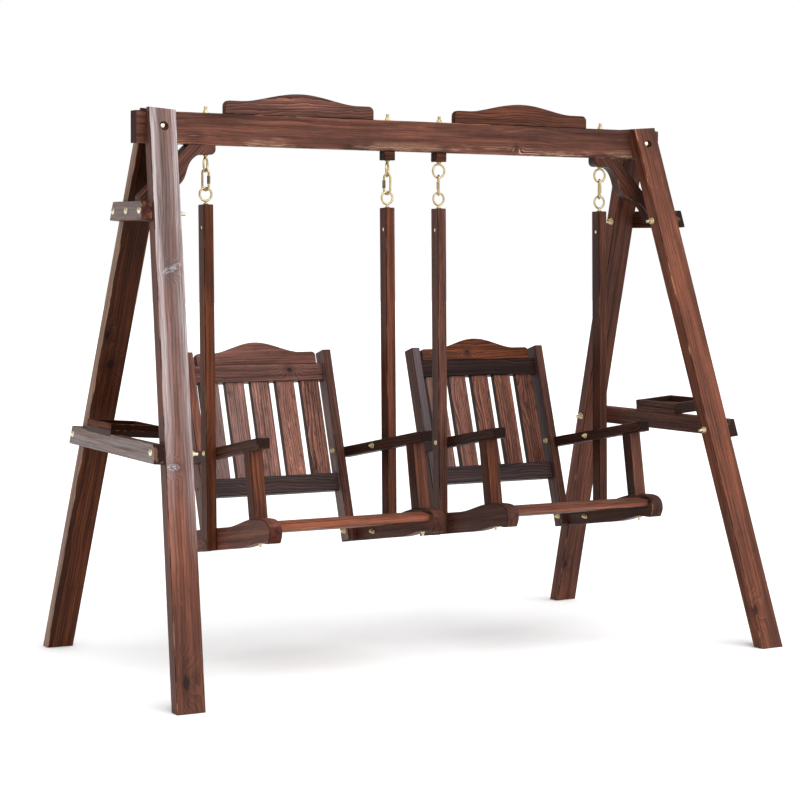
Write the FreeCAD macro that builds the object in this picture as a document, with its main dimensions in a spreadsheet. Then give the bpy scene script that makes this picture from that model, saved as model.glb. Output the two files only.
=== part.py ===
import FreeCAD, Part
import math
import os
from FreeCAD import Vector, Placement, Rotation

# Double hanging chair on a timber A-frame stand.
# World frame: +X along the beam, -Y the front, +Z up, millimetres.
doc = FreeCAD.newDocument("double_hanging_chair")
sheet = doc.addObject("Spreadsheet::Sheet", "dims")
D = {}


def dim(alias, value):
    row = len(D) + 1
    sheet.set("A%d" % row, alias)
    sheet.set("B%d" % row, repr(float(value)))
    sheet.setAlias("B%d" % row, alias)
    D[alias] = float(value)


for alias, value in [
    # stand
    ("centre_shift", -42.5), ("frame_half_span", 1054.8), ("toe_angle", 2.4455), ("splay_angle", 4.3166),
    ("leg_width", 90.0), ("leg_thick", 45.0), ("leg_raw_length", 1960.0), ("leg_foot_half", 602.0),
    ("leg_slope", 0.316), ("leg_top_height", 1774.0),
    ("beam_length", 2000.0), ("beam_depth", 45.0), ("beam_height", 100.0), ("beam_under", 1662.0),
    ("brace_thick", 36.0), ("brace_height", 59.0), ("upper_brace_low", 1421.0), ("lower_brace_low", 698.0),
    ("upper_brace_half", 141.0), ("lower_brace_half", 378.0),
    ("bracket_thick", 44.0), ("spacer_x", 39.0), ("spacer_y", 38.0), ("spacer_z", 30.5),
    ("crest_half", 270.0), ("crest_thick", 22.0), ("crest_shoulder", 42.5), ("crest_crown", 72.0), ("crest_corner", 18.0),
    ("tray_x", 165.0), ("tray_y", 218.0), ("tray_base_thick", 20.0), ("tray_rim_height", 19.0), ("tray_rim_thick", 14.0),
    ("tray_housing", 6.0),
    ("edge_soft", 3.0), ("edge_slat", 2.0),
    # frame hardware
    ("frame_bolt_r", 5.0), ("frame_head_r", 12.0), ("frame_head_h", 6.5), ("frame_nut_r", 9.6), ("frame_nut_h", 8.0),
    ("frame_washer_r", 11.5), ("washer_thick", 2.0), ("bore_gap", 0.3), ("dowel_r", 5.0), ("dowel_length", 48.0),
    ("screw_r", 2.2), ("screw_head_r", 4.5), ("screw_head_h", 1.6),
    # hangers
    ("eye_ring_r", 22.5), ("low_ring_r", 20.5), ("eye_wire_r", 3.5), ("eye_collar_r", 8.0), ("eye_collar_h", 4.0),
    ("eye_neck", 8.0), ("low_neck", 11.5), ("eye_nut_r", 8.6), ("eye_nut_h", 7.0), ("eye_washer_r", 9.8),
    ("link_wire_r", 3.5), ("link_end_r", 11.5), ("link_straight", 43.0), ("sleeve_r", 6.0), ("sleeve_length", 25.0),
    ("barrel_r", 6.5), ("barrel_length", 24.0), ("shank_r", 4.0),
    # chairs
    ("chair_left", -425.5), ("chair_right", 433.5), ("post_half", 330.0), ("post_x", 34.0), ("post_y", 43.0), ("post_length", 1093.5),
    ("post_inner", 313.0),
    ("rail_thick", 45.0), ("arm_x", 45.0), ("arm_z", 34.0), ("arm_length", 558.0), ("arm_post_side", 45.0),
    ("arm_post_length", 232.0), ("stile_x", 32.0), ("stile_y", 54.0), ("stile_length", 658.0),
    ("stile_front", 22.0), ("stile_let_in", 12.0), ("back_shift", 6.0),
    ("back_rail_z", 59.0), ("back_rail_y", 36.0), ("back_rail_x", 484.0),
    ("back_slat_x", 69.5), ("back_slat_y", 20.0), ("back_slat_z", 344.0), ("back_slat_pitch", 94.0),
    ("back_crest_half", 224.0), ("back_crest_thick", 22.0), ("back_crest_shoulder", 42.0), ("back_crest_crown", 77.5), ("back_crest_corner", 12.0),
    ("seat_slat_x", 560.0), ("seat_slat_y", 54.0), ("seat_slat_z", 17.0), ("seat_front_z", 23.0), ("seat_slat_pitch", 66.5),
    ("chair_bolt_r", 4.0), ("chair_head_r", 8.5), ("chair_head_h", 4.5), ("chair_nut_r", 7.5), ("chair_nut_h", 6.5),
    ("chair_washer_r", 9.0), ("chair_washer_thick", 1.6),
]:
    dim(alias, value)
doc.recompute()

X, Y, Z = Vector(1, 0, 0), Vector(0, 1, 0), Vector(0, 0, 1)
SHIFT = D["centre_shift"]
count = [0]
nodes = []


def name(tag):
    count[0] += 1
    return "%s_%d" % (tag, count[0])


def put(base, rot=None, offset=None):
    p = Placement(base, rot if rot is not None else Rotation())
    return p.multiply(Placement(offset, Rotation())) if offset is not None else p


def bind(obj, **sizes):
    for prop, val in sizes.items():
        if isinstance(val, str):
            obj.setExpression(prop, val)
        else:
            setattr(obj, prop, val)
    return obj


def box(tag, lx, ly, lz, place):
    o = bind(doc.addObject("Part::Box", name(tag)), Length=lx, Width=ly, Height=lz)
    o.Placement = place
    return o


def cyl(tag, r, h, place):
    o = bind(doc.addObject("Part::Cylinder", name(tag)), Radius=r, Height=h)
    o.Placement = place
    return o


def fuse(tag, parts):
    o = doc.addObject("Part::MultiFuse", name(tag))
    o.Shapes = parts
    return o


def cut(tag, base, tools):
    o = doc.addObject("Part::Cut", name(tag))
    o.Base = base
    o.Tool = tools[0] if len(tools) == 1 else fuse(tag + "_tools", tools)
    return o


def group(tag, parts):
    o = doc.addObject("Part::Compound", name(tag))
    o.Links = parts
    return o


def soften(tag, base, radius, pick=None):
    doc.recompute()
    r = D[radius] if isinstance(radius, str) else radius
    edges = [(i + 1, r, r) for i, e in enumerate(base.Shape.Edges) if pick is None or pick(e)]
    o = doc.addObject("Part::Fillet", name(tag))
    o.Base = base
    o.Edges = edges
    doc.recompute()
    if o.Shape.isNull() or not o.Shape.isValid() or not o.Shape.Solids:
        raise RuntimeError("soft edge failed on " + tag)
    return o


def node(label, obj):
    obj.Label = label
    nodes.append(obj)
    return obj


def body(tag, plane, curves, length):
    b = doc.addObject("PartDesign::Body", name(tag))
    sk = b.newObject("Sketcher::SketchObject", name(tag + "_profile"))
    support = [o for o in b.Origin.OriginFeatures if o.Role == plane][0]
    sk.AttachmentSupport = [(support, "")]
    sk.MapMode = "FlatFace"
    for c in curves:
        sk.addGeometry(c, False)
    pad = b.newObject("PartDesign::Pad", name(tag + "_pad"))
    pad.Profile = sk
    pad.setExpression("Length", length)
    b.Tip = pad
    doc.recompute()
    return b, pad


def soft_body(b, pad, radius, axis, keep=None):
    # round the long outline edges on the two flat faces of a padded board
    flat = []
    lo, hi = getattr(pad.Shape.BoundBox, axis + "Min"), getattr(pad.Shape.BoundBox, axis + "Max")
    for i, e in enumerate(pad.Shape.Edges):
        bb = e.BoundBox
        a, c = getattr(bb, axis + "Min"), getattr(bb, axis + "Max")
        if c - a < 0.01 and (abs(a - lo) < 0.01 or abs(a - hi) < 0.01) and (keep is None or keep(e)):
            flat.append("Edge%d" % (i + 1))
    f = b.newObject("PartDesign::Fillet", name("soft"))
    f.Base = (pad, flat)
    f.setExpression("Radius", radius)
    b.Tip = f
    doc.recompute()
    if f.Shape.isNull() or not f.Shape.isValid():
        raise RuntimeError("soft edge failed on " + b.Label)
    return b


def seg(p, q):
    return Part.LineSegment(Vector(p[0], p[1], 0), Vector(q[0], q[1], 0))


def arc(p, m, q):
    return Part.Arc(Vector(p[0], p[1], 0), Vector(m[0], m[1], 0), Vector(q[0], q[1], 0))


def spline(points):
    c = Part.BSplineCurve()
    c.interpolate([Vector(p[0], p[1], 0) for p in points])
    return c


def flow(points, start, end):
    # curve through the points with set directions at both ends
    c = Part.BSplineCurve()
    c.interpolate(Points=[Vector(p[0], p[1], 0) for p in points],
                  InitialTangent=Vector(start[0], start[1], 0).normalize(), FinalTangent=Vector(end[0], end[1], 0).normalize())
    return c


def along(direction):
    return Rotation(Z, direction)


def bolt(tag, p, d, length, r, head_r, head_h):
    # domed head with its underside at p, shank running along d
    hr, hh = D[head_r], D[head_h]
    rs = (hr * hr + hh * hh) / (2 * hh)
    shank = cyl(tag, "dims." + r, length, put(p, along(d)))
    dome = doc.addObject("Part::Sphere", name(tag))
    dome.setExpression("Radius", "(dims.%s * dims.%s + dims.%s * dims.%s) / (2 * dims.%s)" % (head_r, head_r, head_h, head_h, head_h))
    dome.Angle1 = math.degrees(math.asin((rs - hh) / rs))
    dome.Angle2 = 90
    dome.Placement = put(p + d * (rs - hh), along(d * -1))
    return fuse(tag, [shank, dome])


def nut(tag, p, d, r, nut_r, nut_h, washer_r, washer_t, turn=0.0):
    # washer and hexagon nut stacked from p along d
    rot = along(d)
    hole = "dims.%s + 0.05" % r
    wt = D[washer_t]
    w = cut(tag, cyl(tag, "dims." + washer_r, "dims." + washer_t, put(p, rot)),
            [cyl(tag, hole, 40.0, put(p - d * 10, rot))])
    hexa = bind(doc.addObject("Part::Prism", name(tag)), Circumradius="dims." + nut_r, Height="dims." + nut_h)
    hexa.Polygon = 6
    hexa.Placement = put(p + d * wt, rot.multiply(Rotation(Z, turn)))
    n = cut(tag, hexa, [cyl(tag, hole, 60.0, put(p - d * 10, rot))])
    return [w, n]


def bore(tag, p, d, length, r, extra="bore_gap"):
    return cyl(tag, "dims.%s + dims.%s" % (r, extra), length, put(p, along(d)))


# ---------------------------------------------------------------- end frames
splay, toe = D["splay_angle"], D["toe_angle"]
SIDES = {}
for side, s in (("left", -1), ("right", 1)):
    rot = Rotation(Z, s * toe).multiply(Rotation(Y, -s * splay))
    SIDES[side] = (s, Placement(Vector(SHIFT + s * D["frame_half_span"], 0, 0), rot))

beam_low, beam_top = D["beam_under"], D["beam_under"] + D["beam_height"]
half_beam = D["beam_depth"] / 2
phi = math.degrees(math.atan(D["leg_slope"]))
leg_bolt_x, leg_bolt_z = 925.5, 1714.0
hang_x = [D[c] + e * D["post_half"] for c in ("chair_left", "chair_right") for e in (-1, 1)]
UNDER = D["beam_under"] - D["spacer_z"]
upper_mid, lower_mid = D["upper_brace_low"] + 30.5, D["lower_brace_low"] + 34.0
UP_Y, LOW_Y = 114.0, 346.0

frame_bolts, frame_nuts, frame_screws, legs_holes = [], [], [], {}

for side, (s, P) in SIDES.items():
    def loc(x, y, z, P=P):
        return P.multVec(Vector(x, y, z))

    def locdir(v, P=P):
        return P.Rotation.multVec(v)
    out = locdir(Vector(s, 0, 0))
    for end, e in (("front", -1), ("rear", 1)):
        # raw leg board, leaning in the end-frame plane
        tilt = Rotation(X, e * phi)
        foot = P.multiply(put(Vector(0, e * D["leg_foot_half"], 0), tilt))
        off = Vector(-D["leg_width"] / 2, -D["leg_thick"] if e > 0 else 0, -60)
        raw = box("leg_raw", "dims.leg_width", "dims.leg_thick", "dims.leg_raw_length", foot.multiply(Placement(off, Rotation())))
        axis = locdir(tilt.multVec(Z))
        raw = soften("leg_soft", raw, 4.0, lambda ed: ed.Length > 1500)
        tools = [
            box("floor_cut", 600.0, 600.0, 200.0, put(loc(0, e * D["leg_foot_half"], 0) * 1.0, None, Vector(-300, -300, 0))),
            box("top_cut", 400.0, 400.0, 300.0, P.multiply(put(Vector(-200, -200, D["leg_top_height"])))),
            box("plumb_cut", 700.0, "dims.beam_depth", 700.0, put(Vector(SHIFT + s * 925.5 - 350, -half_beam, 1400))),
        ]
        tools[0].Placement = put(Vector(loc(0, e * D["leg_foot_half"], 0).x - 300, loc(0, e * D["leg_foot_half"], 0).y - 300, -200))
        # through bolt to the beam, with a spot face on the sloping outer side
        bx = SHIFT + s * leg_bolt_x
        tools.append(bore("leg_bore", Vector(bx, -120, leg_bolt_z), Y, 240.0, "frame_bolt_r"))
        spot = 52.0
        tools.append(cyl("spot_face", 14.5, 60.0, put(Vector(bx, -spot if e < 0 else spot, leg_bolt_z), along(Vector(0, e, 0)))))
        # brace bolts run across the leg
        for yy, zz in ((UP_Y, upper_mid), (LOW_Y, lower_mid)):
            tools.append(bore("brace_bore", loc(s * 60, e * yy, zz), out * -1, 140.0, "frame_bolt_r"))
            head = loc(s * (D["leg_width"] / 2 + D["brace_thick"]), e * yy, zz)
            frame_bolts.append(bolt("brace_bolt", head, out * -1, 150.0, "frame_bolt_r", "frame_head_r", "frame_head_h"))
            frame_nuts.extend(nut("brace_nut", loc(-s * D["leg_width"] / 2, e * yy, zz), out * -1, "frame_bolt_r", "frame_nut_r",
                                  "frame_nut_h", "frame_washer_r", "washer_thick"))
        node("leg_%s_%s" % (end, side), cut("leg", raw, tools))
    # leg-to-beam bolt, head to the front
    bx = SHIFT + s * leg_bolt_x
    frame_bolts.append(bolt("leg_bolt", Vector(bx, -52, leg_bolt_z), Y, 122.0, "frame_bolt_r", "frame_head_r", "frame_head_h"))
    frame_nuts.extend(nut("leg_nut", Vector(bx, 52, leg_bolt_z), Y, "frame_bolt_r", "frame_nut_r", "frame_nut_h",
                          "frame_washer_r", "washer_thick"))
    # braces on the outer faces of the legs
    x0 = D["leg_width"] / 2 if s > 0 else -D["leg_width"] / 2 - D["brace_thick"]
    for tag, low, half, yy in (("upper", "upper_brace_low", "upper_brace_half", UP_Y), ("lower", "lower_brace_low", "lower_brace_half", LOW_Y)):
        raw = box("brace_raw", "dims.brace_thick", "2 * dims." + half, "dims.brace_height", P.multiply(put(Vector(x0, -D[half], D[low]))))
        slope = Rotation(X, phi)
        ends = []
        for e in (-1, 1):
            pl = P.multiply(put(Vector(x0 - 20, e * D[half], D[low]), Rotation(X, e * phi)))
            ends.append(box("brace_end", 80.0, 80.0, 160.0, pl.multiply(Placement(Vector(0, 0 if e > 0 else -80, -40), Rotation()))))
        raw = soften("brace_soft", cut("brace_cut", raw, ends), "edge_soft")
        mids = [-yy, yy] + ([0.0] if tag == "upper" else [])
        zz = upper_mid if tag == "upper" else lower_mid
        holes = [bore("brace_bore", loc(s * 100, m, zz), out * -1, 100.0, "frame_bolt_r") for m in mids]
        if tag == "lower":
            y_tray = [60.0, 150.0] if side == "left" else [-40.0, 90.0]
            for m in y_tray:
                holes.append(bore("tray_screw_bore", loc(x0 + 25, m, D[low] + 15), locdir(Z), 60.0, "screw_r"))
            if side == "left":
                # the left tray is let into the top of its brace
                holes.append(box("tray_housing", 60.0, "dims.tray_y", 40.0, P.multiply(put(Vector(x0 - 10, 0, D[low] + D["brace_height"] - D["tray_housing"])))))
        node("%s_brace_%s" % (tag, side), cut("brace", raw, holes))
    # bolt through the middle of the upper brace into the corner bracket
    frame_bolts.append(bolt("bracket_bolt", loc(s * (D["leg_width"] / 2 + D["brace_thick"]), 0, upper_mid), out * -1, 56.0,
                            "frame_bolt_r", "frame_head_r", "frame_head_h"))
    # tray standing on the lower brace
    tx = -81.0 if side == "left" else 45.0
    ty = 0.0 if side == "left" else -85.0
    tz = D["lower_brace_low"] + D["brace_height"] - (D["tray_housing"] if side == "left" else 0.0)
    floor = soften("tray_soft", box("tray_base", "dims.tray_x", "dims.tray_y", "dims.tray_base_thick", P.multiply(put(Vector(tx, ty, tz)))), "edge_slat")
    holes = []
    for m in ([60.0, 150.0] if side == "left" else [-40.0, 90.0]):
        p = loc(x0 + 25, m, tz + D["tray_base_thick"])
        holes.append(bore("tray_bore", p + locdir(Z), locdir(Z) * -1, 40.0, "screw_r"))
        shank = cyl("tray_screw", "dims.screw_r", 50.0, put(p, along(locdir(Z) * -1)))
        head = cyl("tray_screw", "dims.screw_head_r", "dims.screw_head_h", put(p, along(locdir(Z))))
        frame_screws.append(fuse("tray_screw", [shank, head]))
    node("tray_base_" + side, cut("tray_floor", floor, holes))
    rz = tz + D["tray_base_thick"]
    rt = D["tray_rim_thick"]
    strips = []
    for lx, ly, px, py in (("dims.tray_x", "dims.tray_rim_thick", tx, ty), ("dims.tray_x", "dims.tray_rim_thick", tx, ty + D["tray_y"] - rt),
                           ("dims.tray_rim_thick", "dims.tray_y - 2 * dims.tray_rim_thick", tx, ty + rt),
                           ("dims.tray_rim_thick", "dims.tray_y - 2 * dims.tray_rim_thick", tx + D["tray_x"] - rt, ty + rt)):
        strips.append(soften("rim_soft", box("rim", lx, ly, "dims.tray_rim_height", P.multiply(put(Vector(px, py, rz)))), "edge_slat"))
    node("tray_rim_" + side, group("rim", strips))

# ---------------------------------------------------------------- beam
raw = box("beam_raw", "dims.beam_length", "dims.beam_depth", "dims.beam_height",
          put(Vector(SHIFT - D["beam_length"] / 2, -half_beam, beam_low)))
raw = soften("beam_soft", raw, "edge_soft", lambda e: e.Length > 200)
holes = [bore("eye_bore", Vector(SHIFT + h, 0, beam_low - 10), Z, 140.0, "frame_bolt_r") for h in hang_x]
holes += [bore("leg_bore", Vector(SHIFT + s * leg_bolt_x, -60, leg_bolt_z), Y, 120.0, "frame_bolt_r") for s in (-1, 1)]
CREST_X = {"left": -423.0, "right": 428.0}
dowel_x = [c + o for c in CREST_X.values() for o in (-190.0, 190.0)]
holes += [bore("dowel_bore", Vector(SHIFT + h, 0, beam_top - 26), Z, 40.0, "dowel_r", "bore_gap") for h in dowel_x]
node("top_beam", cut("beam", raw, holes))

blocks = []
for h in hang_x[1:3]:
    b = soften("spacer_soft", box("spacer", "dims.spacer_x", "dims.spacer_y", "dims.spacer_z",
               put(Vector(SHIFT + h - D["spacer_x"] / 2, -D["spacer_y"] / 2, UNDER))), "edge_slat")
    blocks.append(cut("spacer", b, [bore("eye_bore", Vector(SHIFT + h, 0, UNDER - 10), Z, 60.0, "frame_bolt_r")]))
node("spacer_blocks", group("spacers", blocks))


def crest_curves(half, shoulder, crown, r):
    # flat-topped shoulders at both ends, an ogee rising to the crown
    flat = half - 62.0
    top = [(-flat, shoulder)]
    for i in range(1, 24):
        t = i / 24.0
        x = -flat + 2 * flat * t
        u = 1 - abs(x) / flat
        top.append((x, shoulder + (crown - shoulder) * (0.5 - 0.5 * math.cos(math.pi * u)) ** 0.85))
    top.append((flat, shoulder))
    k = r * (1 - math.sqrt(0.5))
    return [
        seg((-half, 0), (half, 0)), seg((half, 0), (half, shoulder - r)),
        arc((half, shoulder - r), (half - k, shoulder - k), (half - r, shoulder)),
        seg((half - r, shoulder), (flat, shoulder)), spline(top[::-1]), seg((-flat, shoulder), (-half + r, shoulder)),
        arc((-half + r, shoulder), (-half + k, shoulder - k), (-half, shoulder - r)), seg((-half, shoulder - r), (-half, 0)),
    ]


for side, s in (("left", -1), ("right", 1)):
    b, pad = body("beam_crest", "XZ_Plane", crest_curves(D["crest_half"], D["crest_shoulder"], D["crest_crown"], D["crest_corner"]), "dims.crest_thick")
    soft_body(b, pad, "dims.edge_soft", "Y")
    b.Placement = put(Vector(SHIFT + CREST_X[side], D["crest_thick"] / 2, beam_top))
    holes = [bore("dowel_bore", Vector(SHIFT + CREST_X[side] + o, 0, beam_top - 10), Z, 36.0, "dowel_r") for o in (-190.0, 190.0)]
    node("beam_crest_" + side, cut("crest", b, holes))
dowels = [cyl("dowel", "dims.dowel_r", "dims.dowel_length", put(Vector(SHIFT + h, 0, beam_top - 24))) for h in dowel_x]
node("crest_dowels", group("dowels", dowels))

# ---------------------------------------------------------------- corner brackets
for side, (s, P) in SIDES.items():
    under = [(-778, 1631.5), (-795, 1627), (-809, 1617), (-820, 1602), (-828, 1583), (-836, 1560), (-853, 1537), (-878, 1522.5),
             (-907, 1511), (-932, 1499), (-950, 1482), (-961, 1461), (-967, 1436)]
    flip = (lambda q: (q[0] * -s, q[1]))
    outline = [seg(flip((-823, 1662)), flip((-730, 1662))), seg(flip((-730, 1662)), flip((-730, 1650))),
               arc(flip((-730, 1650)), flip((-735, 1637)), flip((-748, 1631.5))), seg(flip((-748, 1631.5)), flip((-778, 1631.5))),
               spline([flip(q) for q in under]), seg(flip((-967, 1436)), flip((-1040, 1436))),
               seg(flip((-1040, 1436)), flip((-1040, 1445))), seg(flip((-1040, 1445)), flip((-823, 1662)))]
    b, pad = body("bracket", "XZ_Plane", outline, "dims.bracket_thick")
    soft_body(b, pad, "dims.edge_slat", "Y", lambda ed: ed.Length > 85)
    b.Placement = put(Vector(SHIFT, D["bracket_thick"] / 2, 0))
    xin = 45.0 if s > 0 else -45.0 - 200.0
    tools = [box("brace_plane", 200.0, 400.0, 500.0, P.multiply(put(Vector(xin, -200, 1250)))),
             bore("eye_bore", Vector(SHIFT + (hang_x[0] if s < 0 else hang_x[3]), 0, 1600), Z, 90.0, "frame_bolt_r"),
             bore("heel_bore", P.multVec(Vector(s * 60, 0, upper_mid)), P.Rotation.multVec(Vector(-s, 0, 0)), 37.0, "frame_bolt_r")]
    node("corner_bracket_" + side, cut("bracket", b, tools))

# ---------------------------------------------------------------- hangers
RING, LOW_RING, WIRE = D["eye_ring_r"], D["low_ring_r"], D["eye_wire_r"]
GRIP = WIRE + D["link_wire_r"] + 1.0
EYE_UP = UNDER - RING - D["eye_neck"]
LINK_TOP = EYE_UP - RING + GRIP
LINK_LOW = LINK_TOP - D["link_straight"] - 2 * D["link_end_r"]
EYE_LOW_TOP = LINK_LOW + GRIP
EYE_LOW = EYE_LOW_TOP - LOW_RING
POST_TOP = EYE_LOW - LOW_RING - D["low_neck"]


def ring(tag, radius):
    t = bind(doc.addObject("Part::Torus", name(tag)), Radius1=radius, Radius2="dims.eye_wire_r")
    t.Placement = put(Vector(0, 0, 0), Rotation(X, 90))
    return t


TURN = {"left": (50.0, -55.0, 0.0), "right": (0.0, 65.0, 0.0)}
uppers = []
for i, h in enumerate(hang_x):
    side = "left" if i < 2 else "right"
    collar = cyl("eye_collar", "dims.eye_collar_r", "dims.eye_collar_h", put(Vector(0, 0, RING + D["eye_neck"] - D["eye_collar_h"])))
    shank = cyl("eye_shank", "dims.frame_bolt_r", UNDER - EYE_UP - RING + 1 + beam_top - UNDER + 21.0, put(Vector(0, 0, RING - 1)))
    e = fuse("upper_eye", [ring("eye", "dims.eye_ring_r"), collar, shank])
    # the collar seats flat under the timber
    e.Placement = put(Vector(SHIFT + h, 0, EYE_UP), Rotation(Z, TURN[side][0]))
    uppers.append(e)
    frame_nuts.extend(nut("eye_nut", Vector(SHIFT + h, 0, beam_top), Z, "frame_bolt_r", "eye_nut_r", "eye_nut_h",
                          "eye_washer_r", "washer_thick", 15.0 * i))
node("upper_eye_bolts", group("upper_eyes", uppers))
node("frame_bolts", group("bolts", frame_bolts + frame_screws))
node("frame_nuts", group("nuts", frame_nuts))

for side in ("left", "right"):
    links, sleeves = [], []
    for i, h in enumerate(hang_x[:2] if side == "left" else hang_x[2:]):
        st = D["link_straight"]
        parts = []
        for sign in (1, -1):
            t = bind(doc.addObject("Part::Torus", name("link_end")), Radius1="dims.link_end_r", Radius2="dims.link_wire_r")
            t.Angle3 = 180
            t.Placement = put(Vector(0, 0, sign * st / 2), Rotation(X, sign * 90))
            parts.append(t)
            parts.append(cyl("link_side", "dims.link_wire_r", "dims.link_straight", put(Vector(sign * D["link_end_r"], 0, -st / 2))))
        k = fuse("link", parts)
        place = put(Vector(SHIFT + h, 0, (LINK_TOP + LINK_LOW) / 2), Rotation(Z, TURN[side][1]))
        k.Placement = place
        links.append(k)
        which = 1 if i == 0 else -1
        hexa = bind(doc.addObject("Part::Prism", name("sleeve")), Circumradius="dims.sleeve_r", Height="dims.sleeve_length")
        hexa.Polygon = 6
        sl = cut("sleeve", hexa, [cyl("sleeve_bore", "dims.link_wire_r + 0.1", 60.0, put(Vector(0, 0, -15)))])
        sl.Placement = place.multiply(Placement(Vector(which * D["link_end_r"], 0, -D["sleeve_length"] / 2), Rotation()))
        sleeves.append(sl)
    node(side + "_quick_links", group("links", links))
    node(side + "_link_sleeves", group("sleeves", sleeves))

# ---------------------------------------------------------------- chairs
RAIL_TOP = [(135, 423), (60, 435.5), (0, 445), (-65, 456), (-157, 471), (-203, 484), (-270, 504), (-314, 513), (-365, 517), (-396, 513.5)]
RAIL_NOSE = [(-396, 513.5), (-415, 502), (-422.5, 487), (-423, 468), (-416, 452), (-400, 444.5)]
RAIL_LOW = [(-400, 444.5), (-370, 444), (-337, 440), (-293, 429), (-226, 411), (-150, 398), (-75, 386), (125, 353)]


def rail_outline():
    return [flow(RAIL_TOP, (-75, 12.5), (-24, -9)), flow(RAIL_NOSE, (-24, -9), (30, -3)), flow(RAIL_LOW, (30, -3), (200, -33)),
            seg((125, 353), (135, 423))]


def rail_top(y):
    pts = RAIL_TOP
    for (y1, z1), (y0, z0) in zip(pts, pts[1:]):
        if y0 <= y <= y1:
            return z0 + (z1 - z0) * (y - y0) / (y1 - y0)
    raise RuntimeError("outside the rail")


BACK = math.degrees(math.atan2(197.0, 634.0))
BACK_ROT = Rotation(X, -BACK)
LEAN = 1.6
ARM = math.degrees(math.atan(0.1835))
# the seat frame sits this far along Y so that the hung chair balances under its eyes
BALANCE = 6.55

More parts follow.
